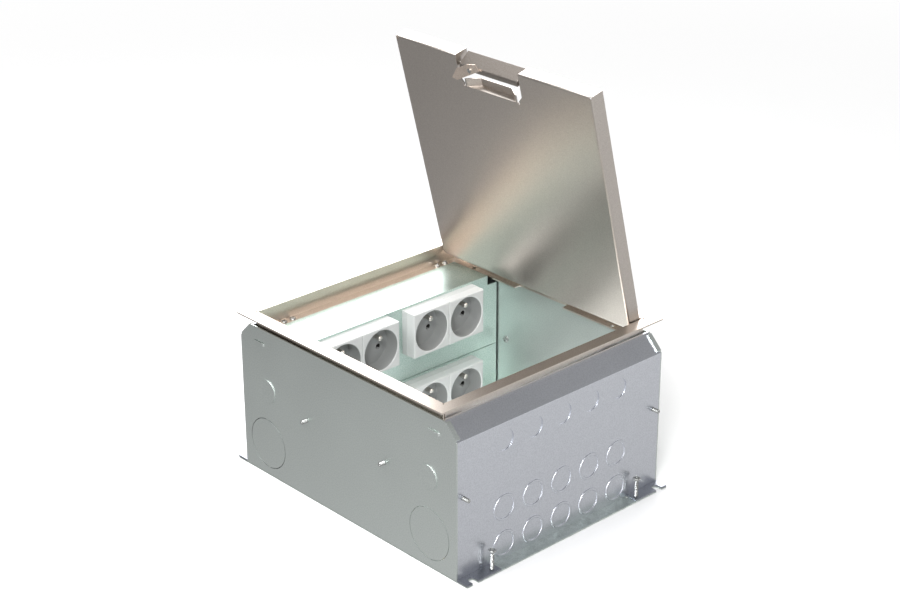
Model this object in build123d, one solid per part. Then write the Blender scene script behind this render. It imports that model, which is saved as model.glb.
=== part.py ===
from build123d import *
import os
from math import cos, radians, sin, sqrt

os.makedirs("parts", exist_ok=True)

# Floor socket box, in millimetres, +Z up.
# The origin is the centre of the base plate's underside. +X points to the side wall that carries
# no sockets, +Y points to the hinge, and the lid's free edge lies at the front, at -Y.

# Body, folded from galvanised sheet
body_width = 292.2
body_depth = 254.4
body_height = 150.25
body_sheet = 1.25
slope = 15.6
base_overhang = 12.9

# Corner ears with open-ended slots, and levelling screws beside them
ear_start = 86.5
ear_sheet = 1.5
ear_relief_radius = 1.3
slot_width = 7.0
slot_reach = 8.0
slot_edge_gap = 10.2
levelling_inset = 6.0
levelling_spacing = 184.0
levelling_radius = 1.9
levelling_length = 19.5
levelling_tip_gap = 0.3
levelling_head_radius = 3.8
levelling_head_height = 2.4
running_gap = 0.05

# Knockouts in the side walls: five columns, three rows
knockout_columns = 5
knockout_pitch = 35.3
upper_row_drop = 16.85
ring_row_heights = (52.3, 16.3)
upper_knockout_radius = 10.0
ring_outer_radius = 13.0
ring_inner_radius = 10.5
press_height = 0.8

# Knockouts in the end walls: one large and one small at each side
large_knockout_inset = 34.6
large_knockout_radius = 25.25
large_knockout_height = 33.8
large_slit = 0.6
large_bridge = 2.5
small_knockout_inset = 36.1
small_knockout_radius = 11.75
small_knockout_height = 88.8
strap_inset = 27.6
strap_drop = 14.95
strap_length = 12.5
strap_width = 3.0
strap_gap = 0.3
corner_tab_length = 18.0
corner_tab_width = 5.0

# Screws through the four walls
wall_screw_height = 79.7
end_screw_spacing = 107.0
side_screw_inset = 8.2
wall_screw_radius = 2.0
wall_screw_head_radius = 3.5
wall_screw_head_height = 2.2
wall_screw_tip = 6.0

# Stainless frame: flange, upright wall and ledge
frame_sheet = 1.5
frame_side_gap = 3.5
frame_end_gap = 1.95
side_flange = 12.5
end_flange = 13.7
flange_rise = 12.75
recess_depth = 17.3
side_ledge = 11.0
end_ledge = 7.0
ledge_notch_width = 64.0
ledge_notch_radius = 2.5
relief_radius = 1.2
ledge_hole_spacing = 184.0
ledge_hole_radius = 2.2
ledge_hole_edge = 3.4

# Frame screws: one adjusts the height, its neighbour locks it
frame_screw_inset = 4.7
adjust_screw_inset = 26.5
lock_screw_step = 10.3
frame_screw_radius = 2.0
frame_screw_head_radius = 3.0
frame_screw_head_height = 1.6
frame_screw_spare = 2.0
frame_travel = 20.0
bracket_drop = 14.65
bracket_sheet = 2.0
bracket_width = 19.0
bracket_upright = 12.0

# Lid tray, with its rim folded up to hold the floor covering
lid_sheet = 1.5
lid_side_gap = 1.5
lid_front_gap = 1.8
lid_back_gap = 1.6
lid_seat = 3.1
rim_height = 14.2
rim_bend = 1.9
corner_slit = 0.7
corner_relief_radius = 1.5
lid_open_angle = 75.7

# Lid hinge
pin_back_gap = 4.1
pin_drop = 2.4
pin_radius = 1.25
pin_ear_radius = 3.4
pin_end_inset = 2.0
pin_press_gap = 0.01

# Cord outlet at the lid's free edge: notch, finger hood, flap and catch
outlet_centre = -3.4
notch_half = 39.5
notch_depth = 30.1
notch_foot_half = 33.2
notch_foot_rise = 7.0
hood_height = 9.0
hood_top_half = 20.0
hood_reach = 7.6
flap_half = 36.6
flap_edge_gap = 1.6
flap_width = 11.6
flap_bend_radius = 6.0
flap_cheek_height = 8.0
flap_pin_edge = 9.6
flap_pin_height = 4.5
flap_pin_radius = 1.0
catch_sheet = 1.2
catch_gap = 0.3
catch_pivot_side = -21.8
catch_pivot_edge = 10.9
catch_upper_half = 6.0
catch_lower_half = 4.0
catch_reach = 30.0
catch_heel = 24.5
catch_shoulder = 17.6
catch_tail = 11.0
catch_lean = 27.0
rivet_radius = 1.5
rivet_head_radius = 2.2
rivet_head_height = 1.0
rivet_seat = 0.1

# Socket carrier: a folded shelf and upper plate, and a lower plate lapped behind it
carrier_sheet = 1.25
shelf_depth = 47.25
carrier_lid_gap = 1.0
carrier_ledge_gap = 1.25
carrier_return = 12.0
carrier_end_gap = 1.5
cheek_inset = 3.5
plate_notch_height = 10.0
cheek_arm_above = 28.3
cheek_arm_below = 27.7
cheek_foot_width = 12.0
carrier_seam_rise = 25.0
carrier_seam = 0.6
carrier_lap_gap = 1.5
carrier_lap_height = 14.0
carrier_foot_width = 14.0

# Sockets: four double blocks of two square modules
module_size = 45.0
module_seam = 0.2
block_spacing = 108.0
block_centre = -8.0
upper_block_drop = 24.8
block_pitch = 76.0
base_thickness = 7.0
base_edge = 0.5
face_thickness = 10.0
face_edge = 0.8
well_margin = 2.5
well_lip = 0.7
well_depth = 16.0
cup_wall = 1.5
cup_floor = 1.0
cup_gap = 0.15
housing_margin = 3.5
housing_depth = 20.0
housing_gap = 0.5
contact_spacing = 19.0
contact_drop = 4.4
contact_hole_radius = 2.75
contact_half = 2.75
contact_strip = 0.3
contact_length = 13.0
earth_pin_radius = 2.4
earth_pin_rise = 12.0
earth_pin_set_back = 0.3
earth_pin_root = 9.0
socket_screw_rise = 18.0
socket_screw_radius = 1.5
socket_screw_head_radius = 2.75
socket_screw_head_height = 2.0

# Protective earth stud, welded to the base plate
stud_side_inset = 51.1
stud_front_inset = 32.2
stud_radius = 2.5
stud_height = 18.0
stud_root_radius = 3.0
stud_root_height = 5.25
stud_neck_radius = 2.2
stud_neck_height = 0.5
stud_washer_radius = 6.0
stud_washer_height = 1.0
stud_nut_width = 10.0
stud_nut_height = 4.0

# Places worked out from the sizes above
wall_x = body_width / 2
wall_y = body_depth / 2
wall_x_inner = wall_x - body_sheet
wall_y_inner = wall_y - body_sheet
edge_x = wall_x + base_overhang
slope_x = wall_x - slope
slope_z = body_height - slope
flange_top = body_height + flange_rise
ledge_top = flange_top - recess_depth
upper_row_height = slope_z - upper_row_drop
strap_height = body_height - strap_drop
bracket_height = slope_z - bracket_drop
lip_x = slope_x - frame_side_gap - frame_sheet
lip_y = wall_y_inner - frame_end_gap - frame_sheet
lid_half_width = lip_x - lid_side_gap
lid_front = -lip_y + lid_front_gap
lid_back = lip_y - lid_back_gap
lid_under = ledge_top + lid_seat
hinge_y = lip_y - pin_back_gap
hinge_z = flange_top - pin_drop
flap_pin_y = lid_front + flap_pin_edge
flap_pin_z = lid_under + flap_pin_height
catch_x = outlet_centre + catch_pivot_side
catch_y = lid_front + catch_pivot_edge
side_screw_y = wall_y - side_screw_inset
carrier_top = lid_under - carrier_lid_gap
carrier_back = -lip_x + side_ledge + carrier_ledge_gap
plate_position = carrier_back + shelf_depth
cheek_arm_top = wall_screw_height + cheek_arm_above
cheek_arm_bottom = wall_screw_height - cheek_arm_below
well_radius = module_size / 2 - well_margin
housing_size = module_size - 2 * housing_margin
upper_block_height = carrier_top - upper_block_drop
lower_block_height = upper_block_height - block_pitch
carrier_seam_height = lower_block_height + carrier_seam_rise
carrier_lap_bottom = lower_block_height + housing_size / 2 + housing_gap + carrier_lap_gap
carrier_lap_top = carrier_lap_bottom + carrier_lap_height
cheek_y = lip_y - end_ledge - cheek_inset
plate_end = wall_y_inner - carrier_end_gap
face_front = plate_position + base_thickness + face_thickness
cup_back = face_front - well_depth - cup_floor
stud_x = wall_x - stud_side_inset
stud_y = -wall_y + stud_front_inset


def block(x0, x1, y0, y1, z0, z1):
    """A rectangular solid between two corners, given in either order."""
    centre = Pos((x0 + x1) / 2, (y0 + y1) / 2, (z0 + z1) / 2)
    return centre * Box(abs(x1 - x0), abs(y1 - y0), abs(z1 - z0))


def disc_z(x, y, z0, z1, radius):
    """A cylinder standing along Z between two heights."""
    return Pos(x, y, (z0 + z1) / 2) * Cylinder(radius, abs(z1 - z0))


def disc_x(x0, x1, y, z, radius):
    """A cylinder lying along X."""
    return Pos((x0 + x1) / 2, y, z) * Rot(0, 90, 0) * Cylinder(radius, abs(x1 - x0))


def disc_y(x, y0, y1, z, radius):
    """A cylinder lying along Y."""
    return Pos(x, (y0 + y1) / 2, z) * Rot(90, 0, 0) * Cylinder(radius, abs(y1 - y0))


def prism_y(points, y0, y1):
    """A section given as (x, z) points, extruded along Y."""
    section = make_face(Polyline(*[(x, y0, z) for x, z in points], close=True))
    return extrude(section, amount=y1 - y0, dir=(0, 1, 0))


def prism_z(points, z0, z1):
    """An outline given as (x, y) points, extruded upwards."""
    section = make_face(Polyline(*[(x, y, z0) for x, y in points], close=True))
    return extrude(section, amount=z1 - z0, dir=(0, 0, 1))


def mirrored_x(shape):
    return mirror(shape, about=Plane.YZ)


def mirrored_y(shape):
    return mirror(shape, about=Plane.XZ)


def pan_screw(radius, length, head_radius, head_height):
    """A pan head screw pointing down, with the underside of its head at the origin."""
    shank = disc_z(0, 0, -length, 0, radius)
    head = disc_z(0, 0, 0, head_height, head_radius)
    rim = head.edges().group_by(Axis.Z)[-1]
    return shank + chamfer(rim, head_height * 0.4)


def levelling_places():
    x = edge_x - levelling_inset
    y = levelling_spacing / 2
    return [(x, -y), (x, y), (-x, -y), (-x, y)]


def corner_cutter(z0, z1):
    """What is cut from the +X +Y corner's layers: the slot and the levelling screw's hole."""
    slot_y = wall_y - slot_edge_gap
    slot_end = edge_x - slot_reach + slot_width / 2
    cutter = block(slot_end, edge_x + 1, slot_y - slot_width / 2, slot_y + slot_width / 2, z0, z1)
    cutter += disc_z(slot_end, slot_y, z0, z1, slot_width / 2)
    cutter += disc_z(edge_x - levelling_inset, levelling_spacing / 2, z0, z1, levelling_radius + running_gap)
    return cutter


def make_base_plate():
    """The flat base, slotted at its corners, with a relief hole where each ear begins."""
    plate = block(-edge_x, edge_x, -wall_y, wall_y, 0, body_sheet)
    cutter = corner_cutter(-1, body_sheet + 1)
    cutter += disc_z(wall_x + ear_relief_radius, ear_start - ear_relief_radius, -1, body_sheet + 1,
                     ear_relief_radius)
    for shape in (cutter, mirrored_x(cutter)):
        plate -= shape
        plate -= mirrored_y(shape)
    return plate


def make_ears():
    """Four plates welded on the base's corners, giving the levelling screws their thread."""
    top = body_sheet + ear_sheet
    ear = block(wall_x, edge_x, ear_start, wall_y, body_sheet, top) - corner_cutter(0, top + 1)
    pair = [ear, mirrored_x(ear)]
    return Compound(children=pair + [mirrored_y(shape) for shape in pair])


def knockout_column_places():
    half = (knockout_columns - 1) / 2
    return [(i - half) * knockout_pitch for i in range(knockout_columns)]


def make_right_wall():
    """A side wall with a sloped top, five knockouts pressed inwards and ten pressed out as rings."""
    t = body_sheet
    fold = t * (sqrt(2) - 1)
    section = [(wall_x_inner, t), (wall_x, t), (wall_x, slope_z), (slope_x, body_height),
               (slope_x - t * sqrt(2), body_height), (wall_x_inner, slope_z - fold)]
    wall = prism_y(section, -wall_y_inner, wall_y_inner)
    face = wall_x + press_height
    for y in knockout_column_places():
        wall += disc_x(wall_x_inner - press_height, wall_x_inner, y, upper_row_height, upper_knockout_radius)
        wall -= disc_x(wall_x - press_height, wall_x + 1, y, upper_row_height, upper_knockout_radius)
        for z in ring_row_heights:
            ring = disc_x(wall_x, face, y, z, ring_outer_radius)
            wall += ring - disc_x(wall_x - 1, face + 1, y, z, ring_inner_radius)
    for y in (-side_screw_y, side_screw_y):
        wall -= disc_x(wall_x_inner - 1, wall_x + 1, y, wall_screw_height, wall_screw_radius + running_gap)
    return wall


def large_knockout_slits(x):
    """Two arcs punched through the end wall, held by a bridge at the top and at the bottom."""
    y0, y1, z = wall_y_inner - 1, wall_y + 1, large_knockout_height
    reach = 2 * large_knockout_radius
    ring = disc_y(x, y0, y1, z, large_knockout_radius)
    ring -= disc_y(x, y0 - 1, y1 + 1, z, large_knockout_radius - large_slit)
    return ring - block(x - large_bridge / 2, x + large_bridge / 2, y0 - 1, y1 + 1, z - reach, z + reach)


def strap_outline(x):
    """The outside of a strap lanced out of the wall, as (x, y) points."""
    half, t = strap_length / 2, body_sheet
    return [(x - half - t, wall_y), (x + half + t, wall_y), (x + half, wall_y + t), (x - half, wall_y + t)]


def corner_tab():
    """The tab folded from the back wall over the right wall's slope."""
    mid_x, mid_z = (wall_x + slope_x) / 2, (body_height + slope_z) / 2
    half = corner_tab_length / (2 * sqrt(2))
    rise = body_sheet / sqrt(2)
    section = [(mid_x - half, mid_z + half), (mid_x + half, mid_z - half),
               (mid_x + half + rise, mid_z - half + rise), (mid_x - half + rise, mid_z + half + rise)]
    return prism_y(section, wall_y - corner_tab_width, wall_y)


def make_back_wall():
    """An end wall with chamfered corners, folded tabs, straps and four knockouts."""
    outline = [(-wall_x, body_sheet), (wall_x, body_sheet), (wall_x, slope_z), (slope_x, body_height),
               (-slope_x, body_height), (-wall_x, slope_z)]
    wall = prism_y(outline, wall_y_inner, wall_y)
    tab = corner_tab()
    wall += tab
    wall += mirrored_x(tab)
    low, high = strap_height - strap_width / 2, strap_height + strap_width / 2
    small, z = small_knockout_radius, small_knockout_height
    for side in (-1, 1):
        x = side * (wall_x - strap_inset)
        wall += prism_z(strap_outline(x), low, high)
        wall -= block(x - strap_length / 2, x + strap_length / 2, wall_y_inner - 1, wall_y, low - strap_gap,
                      high + strap_gap)
        wall -= large_knockout_slits(side * (wall_x - large_knockout_inset))
        x = side * (wall_x - small_knockout_inset)
        wall += disc_y(x, wall_y, wall_y + press_height, z, small)
        wall -= disc_y(x, wall_y_inner - 1, wall_y_inner + press_height, z, small)
        wall -= disc_y(side * end_screw_spacing / 2, wall_y_inner - 1, wall_y + 1, wall_screw_height,
                       wall_screw_radius + running_gap)
    return wall


def make_end_wall_screws():
    """Two screws from inside through each end wall, with their ends standing out as in the photo."""
    screw = pan_screw(wall_screw_radius, body_sheet + wall_screw_tip, wall_screw_head_radius,
                      wall_screw_head_height)
    screw = mirror(screw, about=Plane.XY)
    screws = []
    for x in (-end_screw_spacing / 2, end_screw_spacing / 2):
        screws.append(Pos(x, wall_y_inner, wall_screw_height) * Rot(-90, 0, 0) * screw)
        screws.append(Pos(x, -wall_y_inner, wall_screw_height) * Rot(90, 0, 0) * screw)
    return Compound(children=screws)


def make_side_wall_screws():
    """Two screws from inside through each side wall; the left pair clamps the carrier's feet."""
    screws = []
    for side, packing in ((1, 0), (-1, carrier_sheet)):
        length = body_sheet + packing + wall_screw_tip
        screw = pan_screw(wall_screw_radius, length, wall_screw_head_radius, wall_screw_head_height)
        for y in (-side_screw_y, side_screw_y):
            place = Pos(side * (wall_x_inner - packing), y, wall_screw_height)
            screws.append(place * Rot(0, -90 * side, 0) * screw)
    return Compound(children=screws)


def frame_screw_places():
    """Each corner's pair of places: the adjusting screw first, then the locking screw."""
    x = lip_x - frame_screw_inset
    far = lip_y - adjust_screw_inset
    pairs = []
    for side in (-x, x):
        for y in (-far, far):
            pairs.append(((side, y), (side, y + lock_screw_step)))
    return pairs


def make_corner_brackets():
    """Four angle brackets welded inside the side walls, tapped for the frame's screws."""
    t = bracket_sheet
    low, high = bracket_height - t, bracket_height + bracket_upright
    brackets = []
    for adjust, lock in frame_screw_places():
        middle = (adjust[1] + lock[1]) / 2
        reach = abs(adjust[0]) - 3 * frame_screw_radius
        section = [(reach, low), (wall_x_inner, low), (wall_x_inner, high), (wall_x_inner - t, high),
                   (wall_x_inner - t, bracket_height), (reach, bracket_height)]
        bracket = prism_y(section, middle - bracket_width / 2, middle + bracket_width / 2)
        for x, y in (adjust, lock):
            bracket -= disc_z(abs(x), y, low - 1, bracket_height + 1, frame_screw_radius + running_gap)
        brackets.append(bracket if adjust[0] > 0 else mirrored_x(bracket))
    return Compound(children=brackets)


def rectangle_ring(half_x, half_y, inner_x, inner_y, z0, z1):
    """A flat rectangular ring between two heights."""
    ring = block(-half_x, half_x, -half_y, half_y, z0, z1)
    return ring - block(-inner_x, inner_x, -inner_y, inner_y, z0 - 1, z1 + 1)


def make_lid_frame():
    """The stainless frame: flange on the floor, wall round the lid and ledge under it."""
    t = frame_sheet
    under = ledge_top - t
    frame = rectangle_ring(lip_x + side_flange, lip_y + end_flange, lip_x, lip_y, flange_top - t, flange_top)
    frame += rectangle_ring(lip_x + t, lip_y + t, lip_x, lip_y, under, flange_top - t)
    frame += rectangle_ring(lip_x, lip_y, lip_x - side_ledge, lip_y - end_ledge, under, ledge_top)
    half = ledge_notch_width / 2
    notch = block(-half, half, lip_y - end_ledge - 1, lip_y, under - 1, ledge_top + 1)
    notch = fillet(notch.edges().filter_by(Axis.Z).group_by(Axis.Y)[-1], ledge_notch_radius)
    frame -= notch
    frame -= mirrored_y(notch)
    for side in (-1, 1):
        x = side * (lip_x + t / 2)
        for end in (-1, 1):
            frame -= disc_z(x, end * (lip_y + t / 2), under - 1, flange_top + 1, relief_radius)
        frame -= disc_z(side * ledge_hole_spacing / 2, lip_y - ledge_hole_edge, under - 1, ledge_top + 1,
                        ledge_hole_radius)
        frame -= disc_x(x - t / 2, x + t / 2, hinge_y, hinge_z, pin_radius + pin_press_gap)
    for pair in frame_screw_places():
        for x, y in pair:
            frame -= disc_z(x, y, under - 1, ledge_top + 1, frame_screw_radius + running_gap)
    return frame


def make_frame_screws(index):
    """Four screws hanging in the ledge: index 0 gives the adjusting ones, 1 the locking ones."""
    length = ledge_top - bracket_height + bracket_sheet + frame_travel + frame_screw_spare
    screw = pan_screw(frame_screw_radius, length, frame_screw_head_radius, frame_screw_head_height)
    return Compound(children=[Pos(*pair[index], ledge_top) * screw for pair in frame_screw_places()])


def make_hinge_pins():
    """Two pins pressed into the frame's side walls, one for each of the lid's ears."""
    inner = lid_half_width - lid_sheet - pin_end_inset
    pin = disc_x(inner, lip_x + frame_sheet, hinge_y, hinge_z, pin_radius)
    return Compound(children=[pin, mirrored_x(pin)])


def open_lid(shape):
    """Turns a piece that was built for the closed lid up to the angle in which the lid rests."""
    hinge = Pos(0, hinge_y, hinge_z)
    return hinge * Rot(-lid_open_angle, 0, 0) * hinge.inverse() * shape


def notch_outline():
    """The cord outlet's notch in the panel, from a narrow foot to the full width at the free edge."""
    foot = lid_front + notch_depth
    shoulder = foot - notch_foot_rise
    left, right = outlet_centre - notch_half, outlet_centre + notch_half
    return [(outlet_centre - notch_foot_half, foot), (outlet_centre + notch_foot_half, foot),
            (right, shoulder), (right, lid_front - 1), (left, lid_front - 1), (left, shoulder)]


def make_hood():
    """The finger hood: the panel's tab raised at the notch's foot, with two sloping cheeks."""
    t = lid_sheet
    foot = lid_front + notch_depth
    z0, z1 = lid_under, lid_under + hood_height
    side, top = notch_foot_half, hood_top_half
    lean = t * sqrt(2)
    outer = [(outlet_centre - side, z0), (outlet_centre + side, z0), (outlet_centre + top, z1),
             (outlet_centre - top, z1)]
    inner = [(outlet_centre - side + lean, z0 - 1), (outlet_centre + side - lean, z0 - 1),
             (outlet_centre + side - lean, z0), (outlet_centre + top - t / 2, z1 - t),
             (outlet_centre - top + t / 2, z1 - t), (outlet_centre - side + lean, z0)]
    return prism_y(outer, foot - hood_reach, foot + t) - prism_y(inner, foot - hood_reach - 1, foot)


def make_lid_tray():
    """The tray: panel, four rims slit at the corners, hinge ears, rimmed notch and finger hood."""
    t = lid_sheet
    half = lid_half_width
    rim_base = lid_under + t
    above = flange_top + t
    tray = block(-half, half, lid_front, lid_back, lid_under, lid_under + rim_height)
    tray = fillet(tray.edges().group_by(Axis.Z)[0], rim_bend)
    tray -= block(-half + t, half - t, lid_front + t, lid_back - t, rim_base, above)
    for side in (-1, 1):
        inner = side * (half - t)
        for y, inward in ((lid_front, 1), (lid_back, -1)):
            tray -= block(inner, inner - side * corner_slit, y - t, y + t, rim_base, above)
            tray -= disc_z(inner - side * corner_slit, y + inward * t, lid_under - 1, rim_base + t,
                           corner_relief_radius)
        tray += disc_x(inner, side * half, hinge_y, hinge_z, pin_ear_radius)
        tray -= disc_x(inner - side, side * (half + 1), hinge_y, hinge_z, pin_radius + running_gap)
        tray -= block(inner, inner - side * (pin_end_inset + 1), lid_back - 2 * t, lid_back + 1,
                      hinge_z - 2 * pin_radius, above)
    tray -= prism_z(notch_outline(), lid_under - 1, above)
    for side in (-1, 1):
        tray -= disc_z(outlet_centre + side * (notch_foot_half + corner_relief_radius / 2),
                       lid_front + notch_depth, lid_under - 1, rim_base + 1, corner_relief_radius)
        inner = outlet_centre + side * notch_half
        shoulder = lid_front + notch_depth - notch_foot_rise
        tray += block(inner, inner + side * t, lid_front + t, shoulder, lid_under, lid_under + rim_height)
        tray -= disc_x(inner - side, inner + 2 * side * t, flap_pin_y, flap_pin_z,
                       flap_pin_radius + running_gap)
    return tray + make_hood()


def make_flap():
    """The cord flap: a strip rolled up along the free edge, with a cheek at each end."""
    t = lid_sheet
    bend = flap_bend_radius
    left, right = outlet_centre - flap_half, outlet_centre + flap_half
    y0, z0, z1 = lid_front + flap_edge_gap, lid_under, lid_under + rim_height
    flat = y0 + flap_width
    strip = block(left, right, y0, flat, z0, z1)
    strip = fillet(strip.edges().filter_by(Axis.X).group_by(Axis.Z)[0].sort_by(Axis.Y)[0], bend)
    space = block(left + t, right - t, y0 + t, flat + 1, z0 + t, z1 + 1)
    strip -= fillet(space.edges().filter_by(Axis.X).group_by(Axis.Z)[0].sort_by(Axis.Y)[0], bend - t)
    strip -= block(left - 1, right + 1, y0 + t, flat + 1, z0 + flap_cheek_height, z1 + 1)
    for outer, inward in ((left, 1), (right, -1)):
        strip -= disc_x(outer - inward, outer + 2 * inward * t, flap_pin_y, flap_pin_z,
                        flap_pin_radius + running_gap)
    return strip - disc_z(catch_x, catch_y, z0 - 1, z0 + 2 * t, rivet_radius + running_gap)


def make_flap_pins():
    """Two short pins through the notch's rims and the flap's cheeks."""
    pins = []
    for side in (-1, 1):
        pins.append(disc_x(outlet_centre + side * (flap_half - lid_sheet),
                           outlet_centre + side * (notch_half + lid_sheet), flap_pin_y, flap_pin_z,
                           flap_pin_radius))
    return Compound(children=pins)


def make_catch():
    """The catch: a flat lever on the underside, with its tip lying under the panel's edge."""
    top = lid_under - catch_gap
    bottom = top - catch_sheet
    upper, lower = catch_upper_half, catch_lower_half
    along = (-cos(radians(catch_lean)), sin(radians(catch_lean)))
    across = (-along[1], along[0])
    profile = [(-catch_tail, upper / 2), (-catch_tail, -lower), (catch_heel, -lower), (catch_reach, 0),
               (catch_shoulder, upper), (0, upper)]
    outline = []
    for a, b in profile:
        outline.append((catch_x + a * along[0] + b * across[0], catch_y + a * along[1] + b * across[1]))
    lever = prism_z(outline, bottom, top)
    return lever - disc_z(catch_x, catch_y, bottom - 1, top + 1, rivet_radius + running_gap)


def make_catch_rivet():
    """The shouldered rivet that the catch turns on, headed below the catch and above the flap."""
    under = lid_under - catch_gap - catch_sheet
    over = lid_under + lid_sheet + rivet_seat
    low, high = under - rivet_seat, over + rivet_head_height
    rivet = disc_z(catch_x, catch_y, low, over, rivet_radius)
    rivet += disc_z(catch_x, catch_y, low - rivet_head_height, low, rivet_head_radius)
    return rivet + disc_z(catch_x, catch_y, over, high, rivet_head_radius)


def block_places():
    """The double blocks' centres, as (y, z): the upper pair first."""
    ys = (block_centre - block_spacing / 2, block_centre + block_spacing / 2)
    return [(y, z) for z in (upper_block_height, lower_block_height) for y in ys]


def module_places(place):
    """The two modules' centres in one double block."""
    y, z = place
    return [(y - module_size / 2, z), (y + module_size / 2, z)]


def contact_places(y, z):
    return [(y - contact_spacing / 2, z - contact_drop), (y + contact_spacing / 2, z - contact_drop)]


def with_socket_windows(plate, places):
    """Cuts the windows for the sockets' housings and the holes for their screws."""
    x0, x1 = plate_position - 2 * carrier_sheet - 1, plate_position + 1
    half = housing_size / 2 + housing_gap
    for place in places:
        for y, z in module_places(place):
            plate -= block(x0, x1, y - half, y + half, z - half, z + half)
        y, z = place
        for rise in (-socket_screw_rise, socket_screw_rise):
            plate -= disc_x(x0, x1, y, z + rise, socket_screw_radius + running_gap)
    return plate


def make_upper_carrier():
    """The folded shelf, return and upper plate, with two cheeks that reach the left wall."""
    t = carrier_sheet
    x1, top, foot = plate_position, carrier_top, carrier_seam_height + carrier_seam
    section = [(carrier_back, top - carrier_return), (carrier_back, top), (x1, top), (x1, foot),
               (x1 - t, foot), (x1 - t, top - t), (carrier_back + t, top - t),
               (carrier_back + t, top - carrier_return)]
    carrier = prism_y(section, -cheek_y, cheek_y)
    wing = block(x1 - t, x1, cheek_y - t, plate_end, foot, top - plate_notch_height)
    wall_face = -wall_x_inner
    cheek = prism_y([(x1, foot), (x1, top), (carrier_back, top), (carrier_back, cheek_arm_top),
                     (wall_face, cheek_arm_top), (wall_face, cheek_arm_bottom),
                     (carrier_back, cheek_arm_bottom)], cheek_y - t, cheek_y)
    tongue = block(wall_face, wall_face + t, cheek_y - t, cheek_y + cheek_foot_width, cheek_arm_bottom,
                   cheek_arm_top)
    tongue -= disc_x(wall_face - 1, wall_face + t + 1, side_screw_y, wall_screw_height,
                     wall_screw_radius + running_gap)
    for piece in (wing, cheek, tongue):
        carrier += piece
        carrier += mirrored_y(piece)
    return with_socket_windows(carrier, block_places()[:2])


def make_lower_carrier():
    """The lower plate, with a foot on the base and a lap welded behind the upper plate."""
    t = carrier_sheet
    x1 = plate_position
    lap = cheek_y - 2 * t
    carrier = block(x1 - t, x1, -plate_end, plate_end, body_sheet, carrier_seam_height)
    carrier += block(x1 - carrier_foot_width, x1, -plate_end, plate_end, body_sheet, body_sheet + t)
    carrier += block(x1 - 2 * t, x1 - t, -lap, lap, carrier_lap_bottom, carrier_lap_top)
    return with_socket_windows(carrier, block_places()[2:])


def make_socket_base(place):
    """The double mounting frame on the plate, with a housing behind each module."""
    y0, z0 = place
    x0, x1 = plate_position, plate_position + base_thickness
    half, size = module_size / 2, housing_size / 2
    base = block(x0, x1, y0 - module_size, y0 + module_size, z0 - half, z0 + half)
    base = chamfer(base.edges().group_by(Axis.X)[-1], base_edge)
    for y, z in module_places(place):
        base += block(x0 - housing_depth, x0, y - size, y + size, z - size, z + size)
        base -= disc_x(cup_back - cup_gap, x1 + 1, y, z, well_radius + cup_wall + cup_gap)
        pocket = contact_half + running_gap
        for contact_y, contact_z in contact_places(y, z):
            base -= block(cup_back - contact_length, x1, contact_y - pocket, contact_y + pocket,
                          contact_z - pocket, contact_z + pocket)
        base -= disc_x(cup_back - earth_pin_root, x1, y, z + earth_pin_rise, earth_pin_radius + running_gap)
    for rise in (-socket_screw_rise, socket_screw_rise):
        base -= disc_x(x0 - 1, x1 + 1, y0, z0 + rise, socket_screw_radius + running_gap)
        base -= disc_x(x1 - socket_screw_head_height, x1 + 1, y0, z0 + rise,
                       socket_screw_head_radius + running_gap)
    return base


def make_socket_face(place):
    """Two moulded modules, each a square front with a round cup, two contact holes and a pin hole."""
    x0, x1 = plate_position + base_thickness, face_front
    half = module_size / 2
    modules = []
    for y, z in module_places(place):
        face = block(x0, x1, y - half + module_seam / 2, y + half - module_seam / 2, z - half, z + half)
        face = chamfer(face.edges().group_by(Axis.X)[-1], face_edge)
        face += disc_x(cup_back, x0 + 1, y, z, well_radius + cup_wall)
        face -= disc_x(cup_back + cup_floor, x1 + 1, y, z, well_radius)
        lip = Cone(well_radius, well_radius + well_lip, well_lip)
        face -= Pos(x1 - well_lip / 2, y, z) * Rot(0, 90, 0) * lip
        for contact_y, contact_z in contact_places(y, z):
            face -= disc_x(cup_back - 1, x1, contact_y, contact_z, contact_hole_radius)
        face -= disc_x(cup_back - 1, x1, y, z + earth_pin_rise, earth_pin_radius + running_gap)
        modules.append(face)
    return Compound(children=modules)


def make_earth_pins(place):
    """One round-nosed earth pin for each module, standing in its housing."""
    pins = []
    for y, z in module_places(place):
        pin = disc_x(cup_back - earth_pin_root, face_front - earth_pin_set_back, y, z + earth_pin_rise,
                     earth_pin_radius)
        pins.append(chamfer(pin.edges().group_by(Axis.X)[-1], earth_pin_radius * 0.45))
    return Compound(children=pins)


def make_line_contacts(place):
    """Two clips of folded strip for each module, in pockets behind the contact holes."""
    back = cup_back - contact_length
    grip = contact_half - contact_strip
    clips = []
    for module_y, module_z in module_places(place):
        for y, z in contact_places(module_y, module_z):
            low, high = z - contact_half, z + contact_half
            clip = block(back, cup_back, y - contact_half, y + contact_half, low, high)
            clips.append(clip - block(back + contact_strip, cup_back + 1, y - grip, y + grip, low - 1, high + 1))
    return Compound(children=clips)


def make_socket_screws():
    """Two screws for each double block, through its frame into the carrier's plate."""
    length = base_thickness - socket_screw_head_height + carrier_sheet
    screw = pan_screw(socket_screw_radius, length, socket_screw_head_radius, socket_screw_head_height)
    x = plate_position + base_thickness - socket_screw_head_height
    places = [(y, z + rise) for y, z in block_places() for rise in (-socket_screw_rise, socket_screw_rise)]
    return Compound(children=[Pos(x, y, z) * Rot(0, 90, 0) * screw for y, z in places])


def make_levelling_screw(x, y):
    """A levelling screw in the base and its ear, with its tip just above the underside."""
    screw = pan_screw(levelling_radius, levelling_length, levelling_head_radius, levelling_head_height)
    return Pos(x, y, levelling_tip_gap + levelling_length) * screw


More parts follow.
